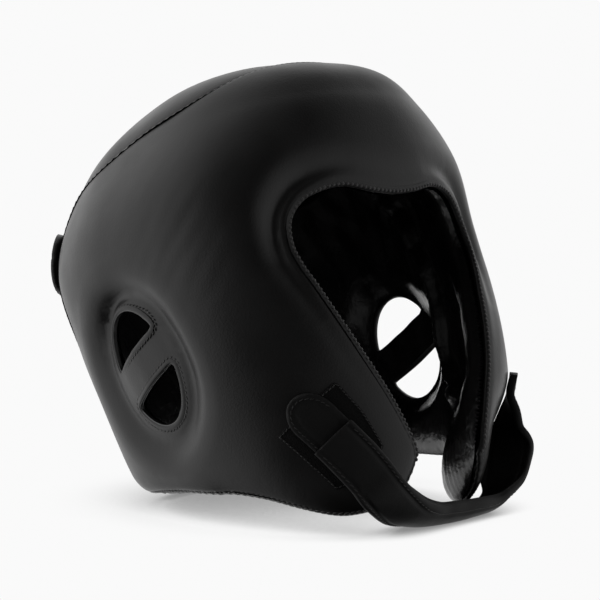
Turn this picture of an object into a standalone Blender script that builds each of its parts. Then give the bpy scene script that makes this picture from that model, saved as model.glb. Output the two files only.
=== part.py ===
"""Boxing headgear: a padded leather shell with ear holes, crown and back panels,
an inner lining, a rear closing strap and a chin strap that fastens on a cheek patch.

Metres, +Z up. The wearer faces -Y and +X is the wearer's left. The guard lies as on a table: it leans
back on the middle of its rear hem and on the underside of the chin strap.
"""

import math

import bpy
import numpy as np
from mathutils import Matrix
from mathutils.geometry import delaunay_2d_cdt

# Outer size of the padded form, measured from the middle of the head at eye level
HALF_WIDTH = 0.1125
FRONT_REACH = 0.105
REAR_REACH = 0.125
CROWN_RISE = 0.1355
CHEEK_DROP = 0.150
SQUARENESS = 2.25
FRONT_SQUARENESS = 2.38

# The strap draws the left cheek guard in: share of the reach, its range of angles and of height shares
FAR_TUCK = 0.24
TUCK_RISE_DEG = (10.0, 45.0)
TUCK_FALL_DEG = (90.0, 56.0)
TUCK_HEIGHTS = (-0.45, -0.85)
TIP_SHIFT_DEG = 6.0
TIP_SHIFT_RISE_DEG = (46.0, 26.0)
EAR_SPAN_LOW = -0.060
HEM_LIFT = 0.0045
HEM_LIFT_RISE_DEG = (58.0, 84.0)
HEM_LIFT_FALL_DEG = (138.0, 108.0)

# Walls
PADDING = 0.019
CROWN_PADDING = 0.013
CROWN_BULGE = 0.0008
BULGE_REACH = 0.030
BULGE_FROM = 0.086
BULGE_RISE = 0.020
LINING_WALL = 0.0018
HEM_ROLL = 0.014
SEAM_ROLL = 0.009
SEAM_SINK = 0.0034
EAR_WALL = 0.0032
EAR_SINK = 0.0078
SEAM_EDGE = 0.006
LIP_WALL = 0.0028
FACE_ROLL = 0.021
HEM_EDGE = 0.0012
FIT_GAP = 0.0004
SEAM_GAP = 0.0006

# Ear holes: one oval on each side, split by a slanting bar
EAR_BACK = 0.0148
EAR_DROP = 0.0235
EAR_HALF_LENGTH = 0.0240
EAR_HALF_HEIGHT = 0.0350
EAR_BAR_WIDTH = 0.0215
EAR_SLANT_DEG = 15.0
EAR_RIM = 0.0045
EAR_SLOPE = 0.0110

# Straps
STRAP_THICKNESS = 0.0045
STRAP_EDGE_THINNING = 0.35
TAB_THICKNESS = 0.0018
TAB_TUCK = 0.012
TAB_WIDTH_SHARE = 0.97
PATCH_THICKNESS = 0.0012
REAR_STRAP_WIDTH = 0.036
REAR_STRAP_THICKNESS = 0.0052
REAR_STRAP_LIFT = 0.0008
REAR_STRAP_HEIGHT = 0.0700
REAR_STRAP_END_DEG = 127.0
REAR_STRAP_FAR_DEG = -6.0
FLAT_DEPTH = 0.0012

# Mesh fineness
GRID = 0.0120
EDGE_STEP = 0.0085
EAR_STEP = 0.0075
THIN_GRID = 0.0100
THIN_STEP = 0.0065
STRAP_FINENESS = 3
STRAP_ACROSS = 5
CUSHION_RINGS = (0.22, 0.62)

# Sections across the head. Heights are shares of CROWN_RISE above eye level and of CHEEK_DROP below it;
# the others are shares of HALF_WIDTH, FRONT_REACH and REAR_REACH.
# height, half width, front, rear
SECTIONS = (
    (-1.000, 0.669, 0.743, 0.700),
    (-0.700, 0.796, 0.857, 0.808),
    (-0.413, 0.924, 0.932, 0.864),
    (-0.133, 0.987, 0.968, 0.895),
    (0.148, 1.000, 0.985, 0.956),
    (0.406, 0.973, 1.000, 1.000),
    (0.627, 0.848, 0.964, 0.932),
    (0.804, 0.676, 0.830, 0.724),
    (0.937, 0.397, 0.375, 0.410),
    (1.000, 0.000, 0.000, 0.000),
)

# Edge of the face opening, from the middle of the brow to the tip of the cheek guard.
# angle in degrees from the front, height share, depth below the form as a share of PADDING
FACE_EDGE = (
    (0.0, 0.196, 0.24),
    (6.0, 0.209, 0.24),
    (14.0, 0.236, 0.27),
    (21.0, 0.230, 0.36),
    (28.0, 0.200, 0.50),
    (33.0, 0.135, 0.57),
    (34.4, 0.040, 0.50),
    (33.2, -0.040, 0.42),
    (30.4, -0.130, 0.36),
    (26.4, -0.272, 0.27),
    (22.6, -0.405, 0.20),
    (18.8, -0.530, 0.15),
    (15.6, -0.640, 0.16),
    (13.6, -0.715, 0.24),
    (13.8, -0.765, 0.34),
)

# Hem, from the cheek guard round to the middle of the back.
# angle in degrees, height share
HEM = (
    (17.5, -0.808),
    (23.5, -0.860),
    (32.0, -0.884),
    (43.0, -0.886),
    (53.0, -0.868),
    (65.0, -0.815),
    (78.0, -0.738),
    (91.0, -0.665),
    (102.0, -0.610),
    (114.0, -0.568),
    (128.0, -0.532),
    (142.0, -0.506),
)

# Rear edge of the side, from the hem up to the end of the crown seam
REAR_EDGE = (
    (150.0, -0.496),
    (146.0, -0.250),
    (140.0, 0.060),
    (134.0, 0.270),
    (128.6, 0.430),
    (124.8, 0.548),
)

# Crown seam, from its rear end behind the ear forward to the middle of the forehead
CROWN_SEAM = (
    (124.8, 0.548),
    (122.2, 0.615),
    (118.5, 0.672),
    (112.0, 0.697),
    (104.0, 0.704),
    (94.0, 0.712),
    (81.0, 0.728),
    (70.0, 0.737),
    (59.0, 0.756),
    (48.0, 0.781),
    (37.0, 0.802),
    (24.0, 0.824),
    (12.0, 0.834),
    (0.0, 0.837),
)

# Lower end of the crown panel at the back, under the rear strap
CROWN_TAIL = (
    (124.8, 0.548),
    (129.0, 0.490),
    (138.0, 0.462),
    (150.0, 0.450),
    (166.0, 0.445),
    (180.0, 0.445),
)

# Hem of the back panel, from the side's rear edge to the middle of the back
BACK_HEM = (
    (150.0, -0.496),
    (160.0, -0.494),
    (170.0, -0.495),
    (180.0, -0.496),
)

# Patch sewn on the near cheek: its outline in angle and height share, corner by corner
PATCH_CORNERS = (
    (-36.0, -0.452),
    (-31.0, -0.560),
    (-27.5, -0.690),
    (-37.0, -0.780),
    (-48.5, -0.785),
    (-54.0, -0.690),
    (-60.5, -0.565),
)

# Chin strap from the near cheek to the far one. For its front edge and for its rear edge: angle in degrees,
# height share and stand-off in shares of STRAP_THICKNESS; then how far the row lies on the patch, 1 or 0,
# and how far its middle bows out, in shares of STRAP_THICKNESS.
STRAP_ROWS = (
    (-36.2, -0.580, 0.00, -50.8, -0.650, 0.00, 1.0, 0.0),
    (-33.9, -0.624, 0.00, -48.8, -0.692, 0.00, 1.0, 0.0),
    (-31.2, -0.675, 0.00, -46.6, -0.738, 0.00, 1.0, 0.0),
    (-28.0, -0.740, 0.00, -43.6, -0.800, 0.00, 1.0, 0.0),
    (-24.4, -0.808, 0.00, -40.9, -0.858, -0.30, 1.0, 0.1),
    (-15.6, -0.875, -1.10, -33.0, -0.922, -3.70, 0.8, 0.6),
    (-7.6, -0.906, -1.80, -16.8, -0.946, -6.90, 0.7, 0.9),
    (0.0, -0.914, -2.37, 1.2, -0.951, -8.00, 0.5, 1.1),
    (10.8, -0.916, -2.63, 22.6, -0.947, -7.61, 0.4, 1.0),
    (28.1, -0.906, -1.87, 45.5, -0.919, -5.02, 0.3, 0.8),
    (34.7, -0.882, -0.69, 50.7, -0.885, -3.81, 0.2, 0.6),
    (42.1, -0.831, 1.05, 51.8, -0.836, -3.89, 0.1, 0.4),
    (43.9, -0.776, 1.74, 54.4, -0.764, -3.44, 0.1, 0.3),
    (45.6, -0.718, 2.11, 57.6, -0.691, -2.67, 0.0, 0.1),
    (45.0, -0.669, 0.82, 58.2, -0.628, -1.70, 0.0, 0.0),
    (45.5, -0.610, 0.28, 56.3, -0.566, -0.86, 0.0, 0.0),
    (44.0, -0.543, -0.59, 51.3, -0.521, -0.35, 0.0, 0.0),
    (43.9, -0.468, 0.02, 46.2, -0.457, 0.05, 0.0, 0.0),
)

# Length of the rounded tab past the strap's near end, in shares of its own width
TAB_REACH = 1.02

COLOURS = {
    "shell": (0.018, 0.018, 0.019),
    "lining": (0.010, 0.010, 0.011),
    "strap": (0.020, 0.020, 0.021),
    "patch": (0.024, 0.024, 0.025),
}
ROUGHNESS = {"shell": 0.52, "lining": 0.28, "strap": 0.60, "patch": 0.72}

LEVEL_STEP = 0.038
MEAN_RADIUS = 0.100
SMALL = 1e-9
LEAST_AREA = 1e-8


def curve_rows(rows, steps, closed_top=False):
    """Read a smooth curve through the rows of a table, steps points to each row."""
    table = np.array(rows, float)
    first = 2 * table[0] - table[1]
    last = 2 * table[-1] - table[-2]
    if closed_top:
        last = table[-2] * np.array([1.0] + [-1.0] * (table.shape[1] - 1))
    padded = np.vstack([first, table, last])
    places = np.linspace(0, len(table) - 1, steps * (len(table) - 1) + 1)
    index = np.minimum(places.astype(int), len(table) - 2)
    part = (places - index)[:, None]
    before, start, end, after = (padded[index + k] for k in range(4))
    return 0.5 * (
        2 * start
        + (end - before) * part
        + (2 * before - 5 * start + 4 * end - after) * part**2
        + (3 * start - before - 3 * end + after) * part**3
    )


def section_table():
    """The sections in metres, read finely from the cheeks up to the crown."""
    rows = []
    for height, width, front, rear in SECTIONS:
        rise = height * (CROWN_RISE if height > 0 else CHEEK_DROP)
        rows.append((rise, width * HALF_WIDTH, front * FRONT_REACH, rear * REAR_REACH))
    fine = curve_rows(rows, 60, closed_top=True)
    fine[:, 0] = np.maximum.accumulate(fine[:, 0] + np.arange(len(fine)) * SMALL)
    return fine


FORM = section_table()
LEVELS = np.linspace(0, len(SECTIONS) - 1, len(FORM))


def height_of(share):
    """Height in metres of a height share."""
    share = np.asarray(share, float)
    return np.where(share > 0, share * CROWN_RISE, share * CHEEK_DROP)


def level_of(height):
    """Place of a height along the sections."""
    return np.interp(height, FORM[:, 0], LEVELS)


def eased(value, span):
    """Smooth step from 0 to 1 between the two ends of a span."""
    share = np.clip((value - span[0]) / (span[1] - span[0]), 0, 1)
    return share * share * (3 - 2 * share)


def form_point(angle, level, tuck=FAR_TUCK):
    """Point of the outer form at an angle from the front, in radians, and a place along the sections."""
    height, width, front, rear = (np.interp(level, LEVELS, FORM[:, k]) for k in range(4))
    side, ahead = np.sin(angle), np.cos(angle)
    power = 2 / np.where(ahead > 0, FRONT_SQUARENESS, SQUARENESS)
    across = width * np.sign(side) * np.abs(side) ** power
    along = np.where(ahead > 0, -front, rear) * np.abs(ahead) ** power
    degrees = np.degrees(angle)
    drawn = eased(degrees, TUCK_RISE_DEG) * eased(degrees, TUCK_FALL_DEG) * eased(height / CHEEK_DROP, TUCK_HEIGHTS)
    across, along = across * (1 - tuck * drawn), along * (1 - tuck * drawn)
    return np.stack([across, along, height + 0 * across], -1)


def form_normal(angle, level, tuck=FAR_TUCK, step=0.004):
    """Outward direction of the form."""
    top = LEVELS[-1]
    round_way = form_point(angle + step, level, tuck) - form_point(angle - step, level, tuck)
    upper = np.minimum(level + step * 6, top)
    lower = np.maximum(level - step * 6, 0)
    up_way = form_point(angle, upper, tuck) - form_point(angle, lower, tuck)
    out = np.cross(round_way, up_way)
    size = np.linalg.norm(out, axis=-1, keepdims=True)
    return out / np.maximum(size, SMALL)


def to_plane(angle, level):
    """Unrolled place of a point: along the head and up it."""
    return np.stack([np.asarray(angle) * MEAN_RADIUS, np.asarray(level) * LEVEL_STEP], -1)


def from_plane(flat):
    """Angle and level of an unrolled place."""
    return flat[..., 0] / MEAN_RADIUS, flat[..., 1] / LEVEL_STEP


def spaced(points, step):
    """Points at even steps along a line, its two ends kept."""
    runs = np.linalg.norm(np.diff(points[:, :2], axis=0), axis=1)
    reach = np.concatenate([[0], np.cumsum(runs)])
    count = max(2, int(round(reach[-1] / step)) + 1)
    at = np.linspace(0, reach[-1], count)
    return np.stack([np.interp(at, reach, points[:, k]) for k in range(points.shape[1])], -1)


def edge_line(rows, sinks, step):
    """One stretch of an outline: plane place, depth of the outer and inner skin, and width of the roll."""
    fine = curve_rows([tuple(row[:2]) for row in rows], 12)
    flat = to_plane(np.radians(fine[:, 0]), level_of(height_of(fine[:, 1])))
    share = np.linspace(0, 1, len(fine))
    columns = [np.interp(share, np.linspace(0, 1, len(values)), values) for values in sinks]
    return spaced(np.column_stack([flat] + columns), step)


def mirrored(line):
    """The same line on the other side of the head, read the other way."""
    copy = line[::-1].copy()
    copy[:, 0] *= -1
    return copy


def joined(lines):
    """One closed loop from lines that follow each other, without doubled ends."""
    points = np.vstack(lines)
    keep = [0]
    for index in range(1, len(points)):
        if np.linalg.norm(points[index, :2] - points[keep[-1], :2]) > 0.0012:
            keep.append(index)
    if np.linalg.norm(points[keep[-1], :2] - points[keep[0], :2]) < 0.0012:
        keep.pop()
    return points[keep]


def inset(loop, distance):
    """A loop moved inward by a distance; a loop runs anticlockwise round its material."""
    forward = np.roll(loop[:, :2], -1, axis=0) - np.roll(loop[:, :2], 1, axis=0)
    inward = np.stack([-forward[:, 1], forward[:, 0]], -1)
    inward /= np.maximum(np.linalg.norm(inward, axis=1, keepdims=True), SMALL)
    moved = loop.copy()
    moved[:, :2] += inward * distance
    return moved


def signed_area(loop):
    """Area inside a plane loop, positive when it runs anticlockwise."""
    x, y = loop[:, 0], loop[:, 1]
    return 0.5 * float(np.sum(x * np.roll(y, -1) - np.roll(x, -1) * y))


def inside(points, loop):
    """Which plane points lie inside a loop."""
    x, y = points[:, 0:1], points[:, 1:2]
    x0, y0 = loop[:, 0], loop[:, 1]
    x1, y1 = np.roll(x0, -1), np.roll(y0, -1)
    spans = (y0 > y) != (y1 > y)
    cross = x0 + (y - y0) * (x1 - x0) / np.where(np.abs(y1 - y0) < 1e-15, 1e-15, y1 - y0)
    return (np.sum(spans & (x < cross), axis=1) % 2) == 1


def distances(points, others):
    """Distance of each point to the nearest of the others, and which one that is."""
    gaps = np.linalg.norm(points[:, None, :] - others[None, :, :], axis=2)
    nearest = np.argmin(gaps, axis=1)
    return gaps[np.arange(len(points)), nearest], nearest


def flat_mesh(outer, holes, spacing, rings):
    """Triangles that fill an outline with holes in the plane; the edge points come first."""
    loops = [outer] + holes
    edge = np.vstack([loop[:, :2] for loop in loops])
    inner = []
    for loop in loops:
        for ring in rings:
            inner.append(inset(loop, ring)[:, :2])
    low, high = outer[:, :2].min(0), outer[:, :2].max(0)
    rows = np.arange(low[1], high[1], spacing * math.sqrt(3) / 2)
    for number, row in enumerate(rows):
        start = low[0] + (spacing / 2 if number % 2 else 0)
        line = np.arange(start, high[0], spacing)
        inner.append(np.column_stack([line, np.full(len(line), row)]))
    kept = [edge]
    spare = [0.45 * EDGE_STEP] * (len(rings) * len(loops)) + [0.62 * spacing] * len(rows)
    for group, room in zip(inner, spare):
        good = inside(group, outer)
        for hole in holes:
            good &= ~inside(group, hole)
        group = group[good]
        if not len(group):
            continue
        far, _ = distances(group, np.vstack(kept))
        group = group[far > room]
        if len(group) > 1 and room < 0.5 * spacing:
            chosen = [group[0]]
            for point in group[1:]:
                if np.min(np.linalg.norm(np.array(chosen) - point, axis=1)) > room:
                    chosen.append(point)
            group = np.array(chosen)
        if len(group):
            kept.append(group)
    points = np.vstack(kept)
    segments = []
    start = 0
    for loop in loops:
        count = len(loop)
        segments += [(start + k, start + (k + 1) % count) for k in range(count)]
        start += count
    found = delaunay_2d_cdt([tuple(p) for p in points], segments, [], 0, 1e-9, True)
    origin = [ids[0] for ids in found[3]]
    triangles = np.array([[origin[k] for k in face] for face in found[2] if len(face) == 3])
    middle = points[triangles].mean(1)
    good = inside(middle, outer)
    for hole in holes:
        good &= ~inside(middle, hole)
    triangles = triangles[good]
    a, b, c = (points[triangles[:, k]] for k in range(3))
    turn = (b[:, 0] - a[:, 0]) * (c[:, 1] - a[:, 1]) - (b[:, 1] - a[:, 1]) * (c[:, 0] - a[:, 0])
    triangles[turn < 0] = triangles[turn < 0][:, ::-1]
    return points, triangles[np.abs(turn) > LEAST_AREA], loops


def cushion(distance, roll):
    """Round fall of a padded edge: 1 at the edge, 0 at the width of the roll and beyond."""
    run = np.clip(1 - distance / np.maximum(roll, SMALL), 0, 1)
    return 1 - np.sqrt(np.maximum(0, 1 - run**2))


def ear_place(points):
    """Place of a point in the slanted frame of the ear holes: along the bar and across it."""
    slant = math.radians(EAR_SLANT_DEG)
    back = points[..., 1] - EAR_BACK
    up = points[..., 2] + EAR_DROP
    along = back * math.cos(slant) - up * math.sin(slant)
    across = back * math.sin(slant) + up * math.cos(slant)
    return along, across


def ear_recess(points):
    """How far the ear recess is sunk at a point, 1 on its floor and 0 outside its rim."""
    along, across = ear_place(points)
    long_way = EAR_HALF_LENGTH + EAR_RIM + EAR_SLOPE
    high_way = EAR_HALF_HEIGHT + EAR_RIM + EAR_SLOPE * 0.6
    reach = np.sqrt((along / long_way) ** 2 + (across / high_way) ** 2)
    floor = (EAR_HALF_LENGTH + EAR_RIM) / long_way
    share = np.clip((1 - reach) / (1 - floor), 0, 1)
    return share * share * (3 - 2 * share)


def ear_hole(side, upper, step):
    """Outline of one D-shaped ear hole in the plane."""
    bar = EAR_BAR_WIDTH / 2
    start = math.asin(bar / EAR_HALF_HEIGHT)
    turn = np.linspace(start, math.pi - start, 40)
    along = EAR_HALF_LENGTH * np.cos(turn)
    across = EAR_HALF_HEIGHT * np.sin(turn) * (1 if upper else -1)
    chord = np.linspace(along[-1], along[0], 16)[1:-1]
    along = np.concatenate([along, chord])
    across = np.concatenate([across, np.full(len(chord), across[0])])
    slant = math.radians(EAR_SLANT_DEG)
    back = along * math.cos(slant) + across * math.sin(slant) + EAR_BACK
    up = -along * math.sin(slant) + across * math.cos(slant) - EAR_DROP
    level = level_of(up)
    rear, front = np.interp(level, LEVELS, FORM[:, 3]), np.interp(level, LEVELS, FORM[:, 2])
    share = np.where(back > 0, back / rear, back / front)
    power = np.where(back > 0, SQUARENESS, FRONT_SQUARENESS) / 2
    angle = math.pi / 2 + np.sign(share) * np.arcsin(np.abs(share) ** power)
    loop = to_plane(side * angle, level)
    loop = spaced(np.vstack([loop, loop[:1]]), step)[:-1]
    if signed_area(loop) > 0:
        loop = loop[::-1]
    wall = np.tile([EAR_SINK, EAR_SINK + EAR_WALL, EAR_WALL], (len(loop), 1))
    return np.column_stack([loop, wall])


def blended(loop, rounds):
    """Even out the depths along a loop, so that its edge runs smoothly from one kind to the next."""
    loop = loop.copy()
    for _ in range(rounds):
        depths = loop[:, 2:]
        loop[:, 2:] = 0.25 * np.roll(depths, 1, 0) + 0.5 * depths + 0.25 * np.roll(depths, -1, 0)
    return loop


def shifted_tip(half):
    """The left half of the outline: its cheek tip further round and its hem higher, as the strap draws it."""
    angle, level = from_plane(half[:, :2])
    height, degrees = np.interp(level, LEVELS, FORM[:, 0]), np.degrees(angle)
    shift = TIP_SHIFT_DEG * eased(degrees, TIP_SHIFT_RISE_DEG) * eased(height / CHEEK_DROP, TUCK_HEIGHTS)
    lift = HEM_LIFT * eased(degrees, HEM_LIFT_RISE_DEG) * eased(degrees, HEM_LIFT_FALL_DEG) * (height < EAR_SPAN_LOW)
    moved = half.copy()
    moved[:, :2] = to_plane(angle + np.radians(shift), level_of(height + lift))
    return moved


def shell_loop(step):
    """Outline of the main shell: hem, cheek guards, face edge, rear edges and crown seam."""
    middle = 0.5 * PADDING
    face_depths = [row[2] * PADDING for row in FACE_EDGE]
    face_inner = [depth + LIP_WALL for depth in face_depths]
    face = edge_line(FACE_EDGE, (face_depths, face_inner, [FACE_ROLL] * len(FACE_EDGE)), step)
    tip = (FACE_EDGE[-1],) + HEM + (REAR_EDGE[0],)
    hem_outer = [face_depths[-1]] + [middle - HEM_EDGE] * 6
    hem_inner = [face_inner[-1]] + [middle + HEM_EDGE] * 6
    hem = edge_line(tip, (hem_outer, hem_inner, [HEM_ROLL] * 2), step)
    seam_inner = SEAM_SINK + SEAM_EDGE
    rear = edge_line(REAR_EDGE, ([SEAM_SINK] * 2, [seam_inner] * 2, [SEAM_ROLL] * 2), step)
    seam = edge_line(CROWN_SEAM, ([SEAM_SINK] * 2, [seam_inner] * 2, [SEAM_ROLL] * 2), step)
    half = joined([face, hem, rear, seam])
    loop = blended(joined([shifted_tip(half), mirrored(half)]), 2)
    return loop if signed_area(loop) > 0 else loop[::-1]


def wall_piece(flat, angle, level, outer_depth, inner_depth):
    """A closed wall between two depths below the form, from one plane mesh."""
    points, triangles, loops = flat
    base, out = form_point(angle, level), form_normal(angle, level)
    outer = base - out * outer_depth[:, None]
    inner = base - out * inner_depth[:, None]
    count = len(points)
    vertices = np.vstack([outer, inner])
    faces = [tuple(face) for face in triangles]
    faces += [tuple(face[::-1] + count) for face in triangles]
    start = 0
    for loop in loops:
        size = len(loop)
        for k in range(size):
            here, there = start + k, start + (k + 1) % size
            faces += [(here, here + count, there + count), (here, there + count, there)]
        start += size
    return vertices, faces


def padded_depths(points3d, edge3d, loop_rows, padding):
    """Depth of the outer and the inner skin of a padded panel at each of its points."""
    far, nearest = distances(points3d, edge3d)
    rows = loop_rows[nearest]
    fall = cushion(far, rows[:, 4])
    outer = rows[:, 2] * fall
    inner = padding - (padding - rows[:, 3]) * fall
    recess = ear_recess(points3d) * (np.abs(points3d[:, 0]) > 0.6 * HALF_WIDTH)
    outer = outer + recess * (EAR_SINK - outer)
    inner = inner + recess * (EAR_SINK + EAR_WALL - inner)
    return outer, inner


def padded_panel(outer, holes, padding, place, bulge=0.0):
    """The plane mesh of a padded panel with its two depths and its places on the form."""
    rings = [HEM_ROLL * share for share in CUSHION_RINGS]
    flat = flat_mesh(outer, holes, GRID, rings)
    angle, level = place(flat[0])
    base = form_point(angle, level)
    loop_rows = np.vstack([outer] + holes)
    edge = base[: len(loop_rows)]
    outer_depth, inner_depth = padded_depths(base, edge, loop_rows, padding)
    upper = np.clip((base[:, 2] - BULGE_FROM) / BULGE_RISE, 0, 1)
    rise = bulge * upper * (1 - cushion(distances(base, edge)[0], BULGE_REACH))
    return flat, angle, level, (outer_depth - rise, inner_depth)


def material_of(name):
    """A Principled material in the part's colour and finish."""
    material = bpy.data.materials.get(name) or bpy.data.materials.new(name)
    material.use_nodes = True
    shader = material.node_tree.nodes["Principled BSDF"]
    shader.inputs["Base Color"].default_value = (*COLOURS[name], 1)
    shader.inputs["Roughness"].default_value = ROUGHNESS[name]
    shader.inputs["Metallic"].default_value = 0.0
    return material


PIECES = {}


def keep(name, finish, vertices, faces):
    """Note a finished piece, in the head's own upright frame."""
    PIECES[name] = (finish, np.array(vertices, float), faces)


def to_disc(angle, level):
    """Place of a point in a flat disc round the top of the crown."""
    reach = (LEVELS[-1] - np.asarray(level)) * LEVEL_STEP
    return np.stack([reach * np.sin(angle), -reach * np.cos(angle)], -1)


def from_disc(flat):
    """Angle and level of a place in the disc."""
    reach = np.hypot(flat[..., 0], flat[..., 1])
    return np.arctan2(flat[..., 0], -flat[..., 1]), LEVELS[-1] - reach / LEVEL_STEP


def build_shell():
    """Main shell and the lining that follows its inside."""
    outer = shell_loop(EDGE_STEP)
    holes = [ear_hole(side, upper, EAR_STEP) for side in (-1, 1) for upper in (True, False)]
    flat, angle, level, depths = padded_panel(outer, holes, PADDING, from_plane)
    keep("main_shell", "shell", *wall_piece(flat, angle, level, *depths))
    skin = depths[1] + FIT_GAP
    keep("lining", "lining", *wall_piece(flat, angle, level, skin, skin + LINING_WALL))


def around_back(line):
    """The mirrored line, with its angles counted on past the middle of the back."""
    copy = line[::-1].copy()
    copy[:, 0] = 2 * math.pi * MEAN_RADIUS - copy[:, 0]
    return copy


def build_crown():
    """Padded crown panel, from the forehead seam over the top to its tail at the back."""
    sunk = ([SEAM_SINK] * 2, [SEAM_SINK + SEAM_EDGE] * 2, [SEAM_ROLL] * 2)
    seam = edge_line(CROWN_SEAM, sunk, EDGE_STEP)
    tail = edge_line(CROWN_TAIL, sunk, EDGE_STEP)
    half = joined([seam[::-1], tail])
    angle, level = from_plane(half)
    half[:, :2] = to_disc(angle, level)
    loop = joined([half, mirrored(half)])
    loop = inset(loop if signed_area(loop) > 0 else loop[::-1], SEAM_GAP)
    flat, angle, level, depths = padded_panel(loop, [], CROWN_PADDING, from_disc, CROWN_BULGE)
    keep("crown_panel", "shell", *wall_piece(flat, angle, level, *depths))


def build_back():
    """Padded back panel between the rear edges of the sides."""
    middle = 0.5 * CROWN_PADDING
    seam = (SEAM_SINK, SEAM_SINK + SEAM_EDGE, SEAM_ROLL)
    side = edge_line(REAR_EDGE, [[value] * 2 for value in seam], EDGE_STEP)
    top = edge_line(CROWN_TAIL, [[value] * 2 for value in seam], EDGE_STEP)
    hem = edge_line(BACK_HEM, ([middle - HEM_EDGE] * 2, [middle + HEM_EDGE] * 2, [HEM_ROLL] * 2), EDGE_STEP)
    half = joined([hem[::-1], side, top])
    loop = blended(joined([half, around_back(half)]), 1)
    loop = inset(loop if signed_area(loop) > 0 else loop[::-1], SEAM_GAP)
    flat, angle, level, depths = padded_panel(loop, [], CROWN_PADDING, from_plane)
    keep("back_panel", "shell", *wall_piece(flat, angle, level, *depths))


def thin_piece(name, finish, loop, lift, thickness):
    """A thin piece that follows the outside of the form at a small lift."""
    loop = loop if signed_area(loop) > 0 else loop[::-1]
    flat = flat_mesh(loop, [], THIN_GRID, [])
    angle, level = from_plane(flat[0])
    inner = np.full(len(angle), -lift)
    keep(name, finish, *wall_piece(flat, angle, level, inner - thickness, inner))


def plane_of(rows):
    """Plane places of angles in degrees and height shares."""
    table = np.array(rows, float)
    return to_plane(np.radians(table[:, 0]), level_of(height_of(table[:, 1])))


def build_patch():
    """Patch on the near cheek, with straight sides and slightly softened corners."""
    corners = plane_of(PATCH_CORNERS)
    line = spaced(np.vstack([corners, corners[:1]]), THIN_STEP)[:-1]
    thin_piece("cheek_patch", "patch", line, FIT_GAP, PATCH_THICKNESS)


def build_tab():
    """Rounded tab that reaches past the near end of the strap."""
    ends = plane_of([STRAP_ROWS[0][0:2], STRAP_ROWS[0][3:5]])
    further = plane_of([STRAP_ROWS[1][0:2], STRAP_ROWS[1][3:5]])
    middle, ahead = ends.mean(0), further.mean(0) - ends.mean(0)
    ahead /= np.linalg.norm(ahead)
    half = 0.5 * (ends[0] - ends[1]) * TAB_WIDTH_SHARE
    width = 2 * np.linalg.norm(half)
    turn = np.linspace(0, math.pi, 13)[:, None]
    centre = middle - ahead * (TAB_REACH - 0.5) * width
    end = centre + half * np.cos(turn) - ahead * 0.5 * width * np.sin(turn)
    tucked = np.array([middle - half + ahead * TAB_TUCK, middle + half + ahead * TAB_TUCK])
    line = np.vstack([end, tucked])
    line = spaced(np.vstack([line, line[:1]]), THIN_STEP)[:-1]
    thin_piece("strap_tab", "strap", line, PATCH_THICKNESS + 2 * FIT_GAP, TAB_THICKNESS)


def build_rear_strap():
    """Closing strap across the back, with a rounded near end."""
    start, stop = math.radians(-REAR_STRAP_END_DEG), math.radians(REAR_STRAP_END_DEG - 360 - REAR_STRAP_FAR_DEG)
    middle = level_of(REAR_STRAP_HEIGHT) * LEVEL_STEP
    half = REAR_STRAP_WIDTH / 2
    near, far = start * MEAN_RADIUS - half, stop * MEAN_RADIUS
    turn = np.linspace(-math.pi / 2, math.pi / 2, 9)
    end = np.column_stack([near + half * np.cos(turn), middle + half * np.sin(turn)])
    line = np.vstack([end, [[far, middle + half], [far, middle - half]]])
    line = spaced(np.vstack([line, line[:1]]), THIN_STEP)[:-1]
    thin_piece("rear_strap", "strap", line, REAR_STRAP_LIFT, REAR_STRAP_THICKNESS)


def strap_surface(rows, share):
    """Places across each row of the strap: share 0 at the front edge and 1 at the rear edge."""
    front, rear = rows[:, 0:3], rows[:, 3:6]
    mix = front + (rear - front) * share
    seat = FIT_GAP + rows[:, 6] * (2 * FIT_GAP + PATCH_THICKNESS + TAB_THICKNESS)
    lift = seat + mix[:, 2] * STRAP_THICKNESS
    angle, level = np.radians(mix[:, 0]), level_of(height_of(mix[:, 1]))
    return form_point(angle, level, 0) + form_normal(angle, level, 0) * lift[:, None]


def build_strap():
    """Padded chin strap: one closed band with thinner edges."""
    rows = curve_rows(STRAP_ROWS, STRAP_FINENESS)
    shares = np.linspace(0, 1, STRAP_ACROSS)
    grid = np.stack([strap_surface(rows, share) for share in shares], 1)
    along = np.gradient(grid, axis=0)
    across = np.gradient(grid, axis=1)
    out = np.cross(across, along)
    out /= np.maximum(np.linalg.norm(out, axis=2, keepdims=True), SMALL)
    bow = rows[:, 7:8] * 4 * shares * (1 - shares)
    grid = grid + out * (STRAP_THICKNESS * bow)[:, :, None]
    crown = 1 - STRAP_EDGE_THINNING * (2 * shares - 1) ** 4
    outer = grid + out * STRAP_THICKNESS * crown[None, :, None]
    count, wide = grid.shape[:2]
    ring = np.concatenate([grid, outer[:, ::-1]], axis=1)
    size = 2 * wide
    vertices = ring.reshape(-1, 3)
    faces = []
    for row in range(count - 1):
        for k in range(size):
            a, b = row * size + k, row * size + (k + 1) % size
            faces += [(a, b + size, b), (a, a + size, b + size)]
    for row, order in ((0, 1), (count - 1, -1)):
        for k in range(wide - 1):
            a, b = row * size + k, row * size + k + 1
            c, d = row * size + size - 2 - k, row * size + size - 1 - k
            faces += [(a, b, c)[::order], (a, c, d)[::order]]
    keep("chin_strap", "strap", vertices, faces)


def leaned(points, tilt):
    """Points turned back about the X axis."""
    turn = np.array(Matrix.Rotation(-tilt, 3, "X"))
    return points @ turn.T


def rest_tilt():
    """Angle at which the rear hem and the chin strap touch the ground together."""
    strap = PIECES["chin_strap"][1]
    rear = PIECES["back_panel"][1]
    low, high = 0.0, math.radians(60)
    for _ in range(40):
        tilt = (low + high) / 2
        if leaned(rear, tilt)[:, 2].min() > leaned(strap, tilt)[:, 2].min():
            low = tilt
        else:
            high = tilt
    return (low + high) / 2


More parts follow.
